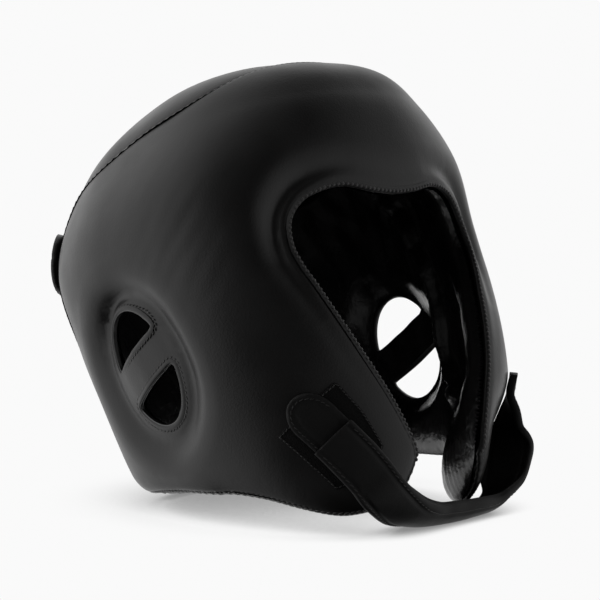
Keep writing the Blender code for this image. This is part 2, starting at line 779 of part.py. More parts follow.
def flattened(points, tilt, ground):
    """Points pressed up to the ground where they would reach below it."""
    up = np.array(Matrix.Rotation(tilt, 3, "X")) @ np.array([0.0, 0.0, 1.0])
    below = np.minimum(points @ up - ground, 0)
    return points - below[:, None] * up


def place_all():
    """Make the objects under one empty that leans them back on the ground."""
    tilt = rest_tilt()
    every = np.vstack([leaned(points, tilt) for _, points, _ in PIECES.values()])
    low, high = every.min(0), every.max(0)
    ground = low[2] + FLAT_DEPTH
    rest = bpy.data.objects.new("rest_pose", None)
    rest.rotation_euler = (-tilt, 0, 0)
    rest.location = (-(low[0] + high[0]) / 2, -(low[1] + high[1]) / 2, -ground)
    bpy.context.scene.collection.objects.link(rest)
    for name, (finish, points, faces) in PIECES.items():
        pressed = flattened(points, tilt, ground)
        mesh = bpy.data.meshes.new(name)
        mesh.from_pydata([tuple(p) for p in pressed], [], [tuple(int(k) for k in face) for face in faces])
        mesh.materials.append(material_of(finish))
        mesh.update()
        mesh.shade_smooth()
        piece = bpy.data.objects.new(name, mesh)
        bpy.context.scene.collection.objects.link(piece)
        piece.parent = rest
    return math.degrees(tilt), ground


for old in list(bpy.data.objects):
    bpy.data.objects.remove(old, do_unlink=True)
build_shell()
build_crown()
build_back()
build_patch()
build_tab()
build_rear_strap()
build_strap()
place_all()
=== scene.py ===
"""Looks of the boxing headgear: padded leather panels, glossy gathered lining, straps, seams and stitches."""

import math

import bpy
import numpy as np
from mathutils import Matrix, Vector, kdtree, noise
from mathutils.geometry import delaunay_2d_cdt

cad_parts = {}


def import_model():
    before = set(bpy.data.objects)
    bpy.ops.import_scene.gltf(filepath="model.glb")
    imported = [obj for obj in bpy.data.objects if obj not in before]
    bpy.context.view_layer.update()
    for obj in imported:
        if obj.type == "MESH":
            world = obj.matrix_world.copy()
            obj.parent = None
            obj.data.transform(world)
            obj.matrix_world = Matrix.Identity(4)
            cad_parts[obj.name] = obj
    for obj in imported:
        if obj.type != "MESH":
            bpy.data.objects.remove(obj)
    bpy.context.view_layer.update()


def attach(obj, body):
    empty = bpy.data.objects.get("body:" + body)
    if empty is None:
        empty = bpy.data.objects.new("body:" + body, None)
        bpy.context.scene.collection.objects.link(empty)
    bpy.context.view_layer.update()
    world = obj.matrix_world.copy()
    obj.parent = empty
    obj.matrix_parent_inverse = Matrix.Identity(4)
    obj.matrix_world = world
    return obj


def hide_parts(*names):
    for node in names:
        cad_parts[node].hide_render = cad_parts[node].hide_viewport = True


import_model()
bpy.context.scene.view_settings.view_transform = "Standard"

MM = 0.001

# Rest pose of the head's own upright frame
LEAN = 0.4214159
REST = np.array([-0.0000223, -0.0092484, 0.1068327])

# The form, in shares of the same sizes as the solids
HALF_WIDTH, FRONT_REACH, REAR_REACH = 0.1125, 0.105, 0.125
CROWN_RISE, CHEEK_DROP = 0.1355, 0.150
SQUARENESS, FRONT_SQUARENESS = 2.25, 2.38
PADDING, CROWN_PADDING = 0.019, 0.013
LEVEL_STEP, MEAN_RADIUS, SMALL = 0.038, 0.100, 1e-9

# The strap draws the left cheek guard in: share of the reach, and the angles and height shares of its rise and fall
FAR_TUCK = 0.24
TUCK_RISE_DEG, TUCK_FALL_DEG, TUCK_HEIGHTS = (10, 45), (90, 56), (-0.45, -0.85)
TIP_SHIFT_DEG, TIP_SHIFT_RISE_DEG = 6.0, (46, 26)
HEM_LIFT, HEM_LIFT_RISE_DEG, HEM_LIFT_FALL_DEG = 0.0045, (58, 84), (138, 108)
EAR_SPAN_LOW = -0.060

# Sections across the head: height share, half width, front and rear reach
SECTIONS = (
    (-1.000, 0.669, 0.743, 0.700),
    (-0.700, 0.796, 0.857, 0.808),
    (-0.413, 0.924, 0.932, 0.864),
    (-0.133, 0.987, 0.968, 0.895),
    (0.148, 1.000, 0.985, 0.956),
    (0.406, 0.973, 1.000, 1.000),
    (0.627, 0.848, 0.964, 0.932),
    (0.804, 0.676, 0.830, 0.724),
    (0.937, 0.397, 0.375, 0.410),
    (1.000, 0.000, 0.000, 0.000),
)
# Edge of the face opening from the brow to the cheek tip: angle in degrees, height share, depth share
FACE_EDGE = (
    (0.0, 0.196, 0.24),
    (6.0, 0.209, 0.24),
    (14.0, 0.236, 0.27),
    (21.0, 0.230, 0.36),
    (28.0, 0.200, 0.50),
    (33.0, 0.135, 0.57),
    (34.4, 0.040, 0.50),
    (33.2, -0.040, 0.42),
    (30.4, -0.130, 0.36),
    (26.4, -0.272, 0.27),
    (22.6, -0.405, 0.20),
    (18.8, -0.530, 0.15),
    (15.6, -0.640, 0.16),
    (13.6, -0.715, 0.24),
    (13.8, -0.765, 0.34),
)
# Outlines of the panels: angle in degrees and height share
HEM = (
    (17.5, -0.808),
    (23.5, -0.860),
    (32.0, -0.884),
    (43.0, -0.886),
    (53.0, -0.868),
    (65.0, -0.815),
    (78.0, -0.738),
    (91.0, -0.665),
    (102.0, -0.610),
    (114.0, -0.568),
    (128.0, -0.532),
    (142.0, -0.506),
)
REAR_EDGE = ((150.0, -0.496), (146.0, -0.250), (140.0, 0.060), (134.0, 0.270), (128.6, 0.430), (124.8, 0.548))
CROWN_SEAM = (
    (124.8, 0.548),
    (122.2, 0.615),
    (118.5, 0.672),
    (112.0, 0.697),
    (104.0, 0.704),
    (94.0, 0.712),
    (81.0, 0.728),
    (70.0, 0.737),
    (59.0, 0.756),
    (48.0, 0.781),
    (37.0, 0.802),
    (24.0, 0.824),
    (12.0, 0.834),
    (0.0, 0.837),
)
CROWN_TAIL = ((124.8, 0.548), (129.0, 0.490), (138.0, 0.462), (150.0, 0.450), (166.0, 0.445), (180.0, 0.445))
BACK_HEM = ((150.0, -0.496), (160.0, -0.494), (170.0, -0.495), (180.0, -0.496))
PATCH_CORNERS = (
    (-36.0, -0.452),
    (-31.0, -0.560),
    (-27.5, -0.690),
    (-37.0, -0.780),
    (-48.5, -0.785),
    (-54.0, -0.690),
    (-60.5, -0.565),
)
# Chin strap rows: angle, height share and lift in thicknesses of both edges, then the seat and the bow
STRAP_ROWS = (
    (-36.2, -0.580, 0.00, -50.8, -0.650, 0.00, 1.0, 0.0),
    (-33.9, -0.624, 0.00, -48.8, -0.692, 0.00, 1.0, 0.0),
    (-31.2, -0.675, 0.00, -46.6, -0.738, 0.00, 1.0, 0.0),
    (-28.0, -0.740, 0.00, -43.6, -0.800, 0.00, 1.0, 0.0),
    (-24.4, -0.808, 0.00, -40.9, -0.858, -0.30, 1.0, 0.1),
    (-15.6, -0.875, -1.10, -33.0, -0.922, -3.70, 0.8, 0.6),
    (-7.6, -0.906, -1.80, -16.8, -0.946, -6.90, 0.7, 0.9),
    (0.0, -0.914, -2.37, 1.2, -0.951, -8.00, 0.5, 1.1),
    (10.8, -0.916, -2.63, 22.6, -0.947, -7.61, 0.4, 1.0),
    (28.1, -0.906, -1.87, 45.5, -0.919, -5.02, 0.3, 0.8),
    (34.7, -0.882, -0.69, 50.7, -0.885, -3.81, 0.2, 0.6),
    (42.1, -0.831, 1.05, 51.8, -0.836, -3.89, 0.1, 0.4),
    (43.9, -0.776, 1.74, 54.4, -0.764, -3.44, 0.1, 0.3),
    (45.6, -0.718, 2.11, 57.6, -0.691, -2.67, 0.0, 0.1),
    (45.0, -0.669, 0.82, 58.2, -0.628, -1.70, 0.0, 0.0),
    (45.5, -0.610, 0.28, 56.3, -0.566, -0.86, 0.0, 0.0),
    (44.0, -0.543, -0.59, 51.3, -0.521, -0.35, 0.0, 0.0),
    (43.9, -0.468, 0.02, 46.2, -0.457, 0.05, 0.0, 0.0),
)
EAR_BACK, EAR_DROP = 0.0148, 0.0235
EAR_HALF_LENGTH, EAR_HALF_HEIGHT, EAR_BAR_WIDTH = 0.0240, 0.0350, 0.0215
EAR_SLANT = math.radians(15.0)
EAR_LAND = 0.0112

# Straps, patch and tab: lift off the form, thickness and width
STRAP_THICKNESS, STRAP_WIDTH, STRAP_SEAT = 0.0045, 0.028, 0.0038
PATCH_LIFT, PATCH_THICKNESS = 0.0004, 0.0012
TAB_LIFT, TAB_THICKNESS, TAB_WIDTH_SHARE, TAB_TUCK = 0.0020, 0.0018, 0.97, 0.012
REAR_STRAP_LIFT, REAR_STRAP_THICKNESS, REAR_STRAP_HEIGHT = 0.0008, 0.0046, 0.0700
REAR_STRAP_HALF, REAR_STRAP_SLANT = 0.018, 0.0120
REAR_STRAP_END, REAR_STRAP_FAR = math.radians(-127), math.radians(-227)

# Steps along outlines and dense lines, and sizes of the skins' triangles
OUTLINE_STEP, DENSE_STEP, LINING_STEP = 0.0034, 0.0006, 0.0018
SHELL_GRID, PANEL_GRID, LINING_GRID, THIN_GRID = 0.0042, 0.0046, 0.0038, 0.003

# Places of worn creases behind the brow: angle in degrees, height, half width and half height
WORN_PLACE = (-72.0, 0.022, 0.030, 0.034)

# Level of the pale floor and background
WHITE = 0.955

# Depth below the form, in mm, by distance in mm from an edge
FACE_FALL = (
    (0, 0.92), (2, 0.79), (4.5, 0.75), (6.5, 0.86), (9, 0.99),
    (11.5, 0.90), (15.5, 0.50), (21, 0.18), (27, 0.04), (34, 0),
)
CHEEK_FALL = ((0, 1.0), (1.5, 0.80), (4, 0.56), (8, 0.33), (13, 0.15), (19, 0.04), (25, 0))
EAR_FALL = (
    (-25, 6.0), (-8, 6.7), (0, 7.6), (5, 7.8), (8, 8.3),
    (11, 7.5), (15, 4.6), (20, 1.6), (26, 0.2), (32, 0),
)


def curve_rows(rows, steps, closed_top=False):
    """Smooth curve through the rows of a table."""
    table = np.array(rows, float)
    first, last = 2 * table[0] - table[1], 2 * table[-1] - table[-2]
    if closed_top:
        last = table[-2] * np.array([1.0] + [-1.0] * (table.shape[1] - 1))
    padded = np.vstack([first, table, last])
    places = np.linspace(0, len(table) - 1, steps * (len(table) - 1) + 1)
    index = np.minimum(places.astype(int), len(table) - 2)
    part = (places - index)[:, None]
    before, start, end, after = (padded[index + k] for k in range(4))
    return 0.5 * (
        2 * start
        + (end - before) * part
        + (2 * before - 5 * start + 4 * end - after) * part**2
        + (3 * start - before - 3 * end + after) * part**3
    )


def section_table():
    """Fine table of the form: height, half width, front and rear reach in metres."""
    rows = []
    for height, width, front, rear in SECTIONS:
        rise = height * (CROWN_RISE if height > 0 else CHEEK_DROP)
        rows.append((rise, width * HALF_WIDTH, front * FRONT_REACH, rear * REAR_REACH))
    fine = curve_rows(rows, 60, closed_top=True)
    fine[:, 0] = np.maximum.accumulate(fine[:, 0] + np.arange(len(fine)) * SMALL)
    return fine


FORM = section_table()
LEVELS = np.linspace(0, len(SECTIONS) - 1, len(FORM))


def height_of(share):
    share = np.asarray(share, float)
    return np.where(share > 0, share * CROWN_RISE, share * CHEEK_DROP)


def level_of(height):
    return np.interp(height, FORM[:, 0], LEVELS)


def eased(value, span):
    share = np.clip((value - span[0]) / (span[1] - span[0]), 0, 1)
    return share * share * (3 - 2 * share)


def form_point(angle, level, tuck=FAR_TUCK):
    """Point of the form at an angle from the front and a level, in the head's upright frame."""
    height, width, front, rear = (np.interp(level, LEVELS, FORM[:, k]) for k in range(4))
    side, ahead = np.sin(angle), np.cos(angle)
    power = 2 / np.where(ahead > 0, FRONT_SQUARENESS, SQUARENESS)
    across = width * np.sign(side) * np.abs(side) ** power
    along = np.where(ahead > 0, -front, rear) * np.abs(ahead) ** power
    degrees = np.degrees(angle)
    drawn = tuck * eased(degrees, TUCK_RISE_DEG) * eased(degrees, TUCK_FALL_DEG)
    drawn = drawn * eased(height / CHEEK_DROP, TUCK_HEIGHTS)
    across, along = across * (1 - drawn), along * (1 - drawn)
    return np.stack([across, along, height + 0 * across], -1)


def form_normal(angle, level, tuck=FAR_TUCK, step=0.02):
    """Outward way of the form at an angle and a level."""
    round_way = form_point(angle + step, level, tuck) - form_point(angle - step, level, tuck)
    upper, lower = np.minimum(level + step * 4, LEVELS[-1]), np.maximum(level - step * 4, 0)
    out = np.cross(round_way, form_point(angle, upper, tuck) - form_point(angle, lower, tuck))
    return out / np.maximum(np.linalg.norm(out, axis=-1, keepdims=True), SMALL)


def on_form(place):
    """Points of the form and the outward ways at angles and levels."""
    angle, level = place
    return form_point(angle, level), form_normal(angle, level)


def to_plane(angle, level):
    """The sides unrolled to a plane."""
    return np.stack([np.asarray(angle) * MEAN_RADIUS, np.asarray(level) * LEVEL_STEP], -1)


def from_plane(flat):
    return flat[..., 0] / MEAN_RADIUS, flat[..., 1] / LEVEL_STEP


def to_disc(angle, level):
    """The crown spread out on a disc."""
    reach = (LEVELS[-1] - np.asarray(level)) * LEVEL_STEP
    return np.stack([reach * np.sin(angle), -reach * np.cos(angle)], -1)


def from_disc(flat):
    reach = np.hypot(flat[..., 0], flat[..., 1])
    return np.arctan2(flat[..., 0], -flat[..., 1]), LEVELS[-1] - reach / LEVEL_STEP


def world(points):
    """From the head's upright frame to the leaned rest pose."""
    c, s = math.cos(LEAN), math.sin(LEAN)
    x, y, z = points[..., 0], points[..., 1], points[..., 2]
    return np.stack([x, y * c + z * s, -y * s + z * c], -1) + REST


def unit(v):
    return v / np.maximum(np.linalg.norm(v, axis=-1, keepdims=True), SMALL)


def spaced(points, step):
    """An open line with points at even steps."""
    runs = np.linalg.norm(np.diff(points, axis=0), axis=1)
    reach = np.concatenate([[0], np.cumsum(runs)])
    count = max(2, int(round(reach[-1] / step)) + 1)
    at = np.linspace(0, reach[-1], count)
    return np.stack([np.interp(at, reach, points[:, k]) for k in range(points.shape[1])], -1)


def plane_line(rows, steps=24):
    """Smooth plane line through a table of angles and height shares."""
    fine = curve_rows([tuple(row[:2]) for row in rows], steps)
    return to_plane(np.radians(fine[:, 0]), level_of(height_of(fine[:, 1])))


def flip(line):
    copy = line[::-1].copy()
    copy[:, 0] *= -1
    return copy


def around_back(line):
    copy = line[::-1].copy()
    copy[:, 0] = 2 * math.pi * MEAN_RADIUS - copy[:, 0]
    return copy


def joined(lines, gap=0.0008):
    """Lines in one, without points that nearly coincide."""
    points = np.vstack(lines)
    keep = [0]
    for index in range(1, len(points)):
        if np.linalg.norm(points[index] - points[keep[-1]]) > gap:
            keep.append(index)
    if np.linalg.norm(points[keep[-1]] - points[keep[0]]) < gap:
        keep.pop()
    return points[keep]


def signed_area(loop):
    x, y = loop[:, 0], loop[:, 1]
    return 0.5 * float(np.sum(x * np.roll(y, -1) - np.roll(x, -1) * y))


def wound(loop, positive=True):
    """The loop turned to run the given way round."""
    return loop if (signed_area(loop) > 0) == positive else loop[::-1]


def evened(loop, step):
    """A closed loop with points at even steps."""
    closed = np.vstack([loop, loop[:1]])
    return spaced(closed, step)[:-1]


def inset(loop, distance):
    forward = np.roll(loop, -1, axis=0) - np.roll(loop, 1, axis=0)
    inward = unit(np.stack([-forward[:, 1], forward[:, 0]], -1))
    return loop + inward * distance


def inside(points, loop):
    """Which points lie inside a plane loop."""
    x0, y0 = loop[:, 0], loop[:, 1]
    x1, y1 = np.roll(x0, -1), np.roll(y0, -1)
    rise = np.where(np.abs(y1 - y0) < 1e-15, 1e-15, y1 - y0)
    found = np.zeros(len(points), bool)
    for start in range(0, len(points), 4000):
        x, y = points[start : start + 4000, 0:1], points[start : start + 4000, 1:2]
        spans = (y0 > y) != (y1 > y)
        found[start : start + 4000] = (np.sum(spans & (x < x0 + (y - y0) * (x1 - x0) / rise), axis=1) % 2) == 1
    return found


def tree_of(points):
    tree = kdtree.KDTree(len(points))
    for index, point in enumerate(points):
        tree.insert(tuple(point), index)
    tree.balance()
    return tree


def reach_to(points, line):
    """Distance of each point to the nearest point of a dense line, and which one that is."""
    tree = tree_of(line)
    found = [tree.find(tuple(p))[1:] for p in points]
    return np.array([f[1] for f in found]), np.array([f[0] for f in found])


def filled(outer, holes, spacing, rings):
    """Triangles that fill an outline with holes; edge points first."""
    loops = [outer] + holes
    edge = np.vstack(loops)
    groups = []
    for loop in loops:
        for ring in rings:
            groups.append((inset(loop, ring), 0.5 * spacing))
    low, high = outer.min(0), outer.max(0)
    for number, row in enumerate(np.arange(low[1], high[1], spacing * math.sqrt(3) / 2)):
        line = np.arange(low[0] + (spacing / 2 if number % 2 else 0), high[0], spacing)
        groups.append((np.column_stack([line, np.full(len(line), row)]), 0.66 * spacing))
    cells, kept = {}, []
    size = 0.66 * spacing

    def crowded(p, room):
        i, j = int(p[0] // size), int(p[1] // size)
        for a in (i - 1, i, i + 1):
            for b in (j - 1, j, j + 1):
                for q in cells.get((a, b), ()):
                    if (q[0] - p[0]) ** 2 + (q[1] - p[1]) ** 2 < room * room:
                        return True
        return False

    for p in edge:
        cells.setdefault((int(p[0] // size), int(p[1] // size)), []).append(p)
        kept.append(p)
    for group, room in groups:
        good = inside(group, outer)
        for hole in holes:
            good &= ~inside(group, hole)
        for p in group[good]:
            if not crowded(p, room):
                cells.setdefault((int(p[0] // size), int(p[1] // size)), []).append(p)
                kept.append(p)
    points = np.array(kept)
    segments, start = [], 0
    for loop in loops:
        count = len(loop)
        segments += [(start + k, start + (k + 1) % count) for k in range(count)]
        start += count
    found = delaunay_2d_cdt([tuple(p) for p in points], segments, [], 0, 1e-9, True)
    origin = [ids[0] for ids in found[3]]
    triangles = np.array([[origin[k] for k in face] for face in found[2] if len(face) == 3])
    middle = points[triangles].mean(1)
    good = inside(middle, outer)
    for hole in holes:
        good &= ~inside(middle, hole)
    triangles = triangles[good]
    a, b, c = (points[triangles[:, k]] for k in range(3))
    turn = (b[:, 0] - a[:, 0]) * (c[:, 1] - a[:, 1]) - (b[:, 1] - a[:, 1]) * (c[:, 0] - a[:, 0])
    triangles[turn < 0] = triangles[turn < 0][:, ::-1]
    return points, triangles[np.abs(turn) > 1e-11]


def finer(points, triangles):
    """Each triangle cut into four."""
    sides = np.sort(np.vstack([triangles[:, [0, 1]], triangles[:, [1, 2]], triangles[:, [2, 0]]]), axis=1)
    unique, index = np.unique(sides, axis=0, return_inverse=True)
    index = index.reshape(-1) + len(points)
    middle = (points[unique[:, 0]] + points[unique[:, 1]]) / 2
    count = len(triangles)
    ab, bc, ca = index[:count], index[count : 2 * count], index[2 * count :]
    a, b, c = triangles.T
    faces = np.vstack([np.stack(t, 1) for t in ((a, ab, ca), (ab, b, bc), (ca, bc, c), (ab, bc, ca))])
    return np.vstack([points, middle]), faces


def skin_mesh(outer, holes, spacing, rings):
    """Fine triangles that fill an outline with holes."""
    return finer(*filled(outer, holes, spacing, rings))


def fall(table, distance):
    """Value of a table in mm at distances in metres."""
    fine = curve_rows(table, 8)
    return np.interp(distance / MM, fine[:, 0], fine[:, 1])


def roll(distance, width):
    """Quarter round of 1 at the edge that ends at the given width."""
    run = np.clip(1 - distance / width, 0, 1)
    return 1 - np.sqrt(np.maximum(0, 1 - run**2))


def ear_axes(points):
    """Places along and across the ear oval, from its middle."""
    back, up = points[..., 1] - EAR_BACK, points[..., 2] + EAR_DROP
    along = back * math.cos(EAR_SLANT) - up * math.sin(EAR_SLANT)
    across = back * math.sin(EAR_SLANT) + up * math.cos(EAR_SLANT)
    return along, across


def ear_reach(points):
    """Distance in metres outside the ear oval, negative inside it."""
    along, across = ear_axes(points)
    share = np.sqrt((along / EAR_HALF_LENGTH) ** 2 + (across / EAR_HALF_HEIGHT) ** 2)
    size = np.hypot(along, across) / np.maximum(share, SMALL)
    return (share - 1) * size


def ear_turn(points):
    """Direction of a point from the middle of the ear oval, in degrees from its rear end upward."""
    along, across = ear_axes(points)
    return np.degrees(np.arctan2(across / EAR_HALF_HEIGHT, along / EAR_HALF_LENGTH))


def ear_hole(side, upper):
    """Plane outline of one of the two holes on each side of the slanting bar."""
    bar = EAR_BAR_WIDTH / 2
    start = math.asin(bar / EAR_HALF_HEIGHT)
    turn = np.linspace(start, math.pi - start, 60)
    along = EAR_HALF_LENGTH * np.cos(turn)
    across = EAR_HALF_HEIGHT * np.sin(turn) * (1 if upper else -1)
    chord = np.linspace(along[-1], along[0], 24)[1:-1]
    along = np.concatenate([along, chord])
    across = np.concatenate([across, np.full(len(chord), across[0])])
    for _ in range(3):
        along = (np.roll(along, 1) + 2 * along + np.roll(along, -1)) / 4
        across = (np.roll(across, 1) + 2 * across + np.roll(across, -1)) / 4
    back = along * math.cos(EAR_SLANT) + across * math.sin(EAR_SLANT) + EAR_BACK
    up = -along * math.sin(EAR_SLANT) + across * math.cos(EAR_SLANT) - EAR_DROP
    level = level_of(up)
    rear, front = np.interp(level, LEVELS, FORM[:, 3]), np.interp(level, LEVELS, FORM[:, 2])
    share = np.where(back > 0, back / rear, back / front)
    power = np.where(back > 0, SQUARENESS, FRONT_SQUARENESS) / 2
    angle = math.pi / 2 + np.sign(share) * np.arcsin(np.abs(share) ** power)
    return wound(evened(to_plane(side * angle, level), 0.0022), False)


def shifted(line):
    """Outline on the left side, its cheek tip further round as the strap draws it."""
    angle, level = from_plane(line)
    height, degrees = np.interp(level, LEVELS, FORM[:, 0]), np.degrees(angle)
    shift = TIP_SHIFT_DEG * eased(degrees, TIP_SHIFT_RISE_DEG) * eased(height / CHEEK_DROP, TUCK_HEIGHTS)
    lift = HEM_LIFT * eased(degrees, HEM_LIFT_RISE_DEG) * eased(degrees, HEM_LIFT_FALL_DEG)
    lift = lift * (height < EAR_SPAN_LOW)
    return to_plane(angle + np.radians(shift), level_of(height + lift))


# Outlines in the plane
face_half, hem_half = plane_line(FACE_EDGE), plane_line((FACE_EDGE[-1],) + HEM + (REAR_EDGE[0],))
rear_half, seam_half = plane_line(REAR_EDGE), plane_line(CROWN_SEAM)
face_line = joined([flip(face_half), shifted(face_half)])
hem_lines = [shifted(hem_half), flip(hem_half)]
seam_lines = [joined([rear_half, seam_half]), flip(joined([rear_half, seam_half]))]


def dense(line):
    """The form's points along a plane line."""
    return form_point(*from_plane(spaced(line, DENSE_STEP)))


FACE_DENSE = dense(face_line)
HEM_DENSE = np.vstack([dense(line) for line in hem_lines])
SEAM_DENSE = np.vstack([dense(line) for line in seam_lines])
face_rows = curve_rows(FACE_EDGE, 24)
from_brow = np.abs(np.linspace(-1, 1, len(FACE_DENSE)))
face_share = np.interp(from_brow, np.linspace(0, 1, len(face_rows)), face_rows[:, 2])
# How far the lip is a flat flange behind a valley: full at the brow and temple, none down the cheek
face_flange = np.interp(from_brow, (0, 0.10, 0.22, 0.42, 0.60, 1), (0.15, 0.3, 0.9, 1, 0.25, 0))


def along_form(rows):
    """Points of the form along a line of angles in degrees and heights in metres."""
    per_metre = 500
    table = spaced(np.array([(a / per_metre, h) for a, h in rows]), DENSE_STEP)
    return form_point(np.radians(table[:, 0] * per_metre), level_of(table[:, 1]))


def blob(points, angle, height, wide, tall):
    """Soft mark of 0 to 1 round one place of the form, on both sides of the head."""
    middle = form_point(np.radians(angle), level_of(height))
    back, up = points[:, 1] - middle[1], points[:, 2] - middle[2]
    return np.exp(-((back / wide) ** 2) - (up / tall) ** 2) * (np.abs(points[:, 0]) > 0.03)


# Crest of the lining on each side: angle in degrees and height in metres
RIDGE = (
    (80.0, 0.0670), (79.0, 0.0535), (75.5, 0.0377), (75.6, 0.0252), (73.6, 0.0108), (72.9, -0.0056),
    (72.4, -0.0257), (73.4, -0.0410), (72.0, -0.0546), (66.5, -0.0720), (60.9, -0.0870),
)
RIDGE_LINE = along_form(RIDGE)


def edge_depth(near):
    """Depth of the face opening's edge below the form."""
    return (0.10 + 0.55 * face_share[near]) * PADDING


def shell_depth(points):
    """Depth of the shell's outer skin below the form at points of the form."""
    far, near = reach_to(points, FACE_DENSE)
    edge, flange = edge_depth(near), face_flange[near]
    face = edge * (flange * fall(FACE_FALL, far) + (1 - flange) * fall(CHEEK_FALL, far))
    hem = 0.0083 * roll(reach_to(points, HEM_DENSE)[0], 0.015)
    seam = 0.0016 * roll(reach_to(points, SEAM_DENSE)[0], 0.0035)
    uneven = np.array([noise.noise(Vector(p) * 26.0) for p in points]) * 0.0030
    outside = ear_reach(points)
    ear = np.maximum(fall(EAR_FALL, outside + uneven), 0) * MM
    hollow = np.exp(-(((outside - 0.0068) / 0.0034) ** 2) - ((ear_turn(points) - 84) / 42) ** 2)
    ear = ear + 0.0026 * hollow * (np.abs(points[:, 0]) > 0.03)
    return (np.maximum(face, 0) ** 3 + hem**3 + seam**3 + ear**3) ** (1 / 3)


def on_left(points):
    """The points with those of the right side mirrored to the left."""
    return np.column_stack([np.abs(points[:, 0]), points[:, 1:]])


def lining_depth(points):
    """Depth of the lining's visible face below the form, and the distances to the face edge and the hem."""
    full = PADDING + 0.0026
    far, near = reach_to(points, FACE_DENSE)
    start = edge_depth(near) + 0.0020
    depth = full - (full - start) * roll(far, 0.020)
    hem = reach_to(points, HEM_DENSE)[0]
    depth = depth - (depth - 0.0095) * roll(hem, 0.042)
    seam = reach_to(points, SEAM_DENSE)[0]
    depth = depth - (depth - 0.0120) * roll(seam, 0.008)
    beside = reach_to(on_left(points), RIDGE_LINE)[0]
    depth = depth + 0.0082 * np.exp(-((beside / 0.0044) ** 2)) * np.clip(hem / 0.03, 0, 1)
    ear = ear_reach(points)
    share = np.clip(1 - ear / 0.020, 0, 1)
    share = share * share * (3 - 2 * share)
    return depth + share * (EAR_LAND - depth), far, hem


def piece_of(name, vertices, faces, materials, replaces=(), indices=None):
    """A mesh piece in the world frame that rides on the body."""
    vertices = np.array(vertices, float)
    vertices[:, 2] = np.maximum(vertices[:, 2], 0.0)
    mesh = bpy.data.meshes.new(name)
    mesh.from_pydata([tuple(p) for p in vertices], [], [tuple(int(k) for k in f) for f in faces])
    for material in materials if isinstance(materials, (list, tuple)) else [materials]:
        mesh.materials.append(material)
    if indices is not None:
        mesh.polygons.foreach_set("material_index", np.asarray(indices, dtype=np.int32))
    mesh.update()
    mesh.shade_smooth()
    piece = bpy.data.objects.new(name, mesh)
    bpy.context.scene.collection.objects.link(piece)
    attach(piece, "root")
    if replaces:
        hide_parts(*replaces)
    return piece


def node(tree, kind, **values):
    """New shader node with its properties and input values."""
    made = tree.nodes.new(kind)
    for key, value in values.items():
        if hasattr(made, key) and not key[0].isupper():
            setattr(made, key, value)
        else:
            made.inputs[key.replace("_", " ")].default_value = value
    return made


def map_range(tree, value, spans, kind="LINEAR"):
    """Value mapped from between the first two numbers to between the last two."""
    made = node(tree, "ShaderNodeMapRange", interpolation_type=kind)
    for key, number in zip(("From Min", "From Max", "To Min", "To Max"), spans):
        made.inputs[key].default_value = number
    tree.links.new(value, made.inputs["Value"])
    return made.outputs["Result"]


def leather(name, colour, rough, grain=0.10, grain_scale=900.0, crease=0.0, crease_scale=90.0, sheen=0.0, gloss=0.5):
    """Leather with fine grain, softer unevenness and patchy gloss, all procedural."""
    material = bpy.data.materials.new(name)
    material.use_nodes = True
    tree = material.node_tree
    shader = tree.nodes["Principled BSDF"]
    place = node(tree, "ShaderNodeTexCoord").outputs["Object"]
    fine = node(tree, "ShaderNodeTexVoronoi", Scale=grain_scale)
    tree.links.new(place, fine.inputs["Vector"])
    broad = node(tree, "ShaderNodeTexNoise", Scale=crease_scale, Detail=5.0, Roughness=0.55)
    tree.links.new(place, broad.inputs["Vector"])
    patchy = node(tree, "ShaderNodeTexNoise", Scale=28.0, Detail=4.0)
    tree.links.new(place, patchy.inputs["Vector"])
    spread = map_range(tree, patchy.outputs["Fac"], (0.3, 0.7, rough - 0.05, rough + 0.06))
    tree.links.new(spread, shader.inputs["Roughness"])
    tint = node(tree, "ShaderNodeMix", data_type="RGBA")
    tint.inputs["A"].default_value = (*[c * 0.8 for c in colour], 1)
    tint.inputs["B"].default_value = (*[c * 1.2 for c in colour], 1)
    tree.links.new(patchy.outputs["Fac"], tint.inputs["Factor"])
    tree.links.new(tint.outputs["Result"], shader.inputs["Base Color"])
    first = node(tree, "ShaderNodeBump", Strength=grain, Distance=0.0004)
    tree.links.new(fine.outputs["Distance"], first.inputs["Height"])
    last = first
    if crease:
        last = node(tree, "ShaderNodeBump", Strength=crease, Distance=0.004)
        tree.links.new(broad.outputs["Fac"], last.inputs["Height"])
        tree.links.new(first.outputs["Normal"], last.inputs["Normal"])
    tree.links.new(last.outputs["Normal"], shader.inputs["Normal"])
    shader.inputs["Sheen Weight"].default_value = sheen
    shader.inputs["Specular IOR Level"].default_value = gloss
    return material


SHELL = leather("shell_black_leather", (0.0075, 0.0070, 0.0070), 0.39, crease=0.035, crease_scale=55.0)
# The lining's base colour is lighter than the shell's: painted light for the dim inside of the guard, where little
# light reaches.
LINING = leather(
    "lining_gloss_black", (0.0150, 0.0142, 0.0145), 0.25, grain=0.04, crease=0.22, crease_scale=110.0, gloss=0.85
)
# The strap's base colour is darker than the shell's: painted shade standing in for the dark floor under the chin.
STRAP = leather(
    "strap_black", (0.0042, 0.0040, 0.0040), 0.58,
    grain=0.16, grain_scale=1300.0, crease=0.10, crease_scale=70.0, gloss=0.36,
)
EDGE = leather("edge_black", (0.010, 0.0098, 0.0098), 0.42, crease=0.05)
PATCH = leather(
    "patch_loop_fabric", (0.0058, 0.0056, 0.0056), 0.85, grain=0.5, grain_scale=1500.0, sheen=0.03, gloss=0.2
)
GLOSS = leather("piping_gloss", (0.02, 0.02, 0.02), 0.22, grain=0.0, gloss=1.0)
THREAD = leather("thread_black", (0.030, 0.029, 0.029), 0.38, grain=0.25, grain_scale=3000.0)
RIM_THREAD = leather("rim_thread_black", (0.062, 0.060, 0.060), 0.34, grain=0.25, grain_scale=3000.0)


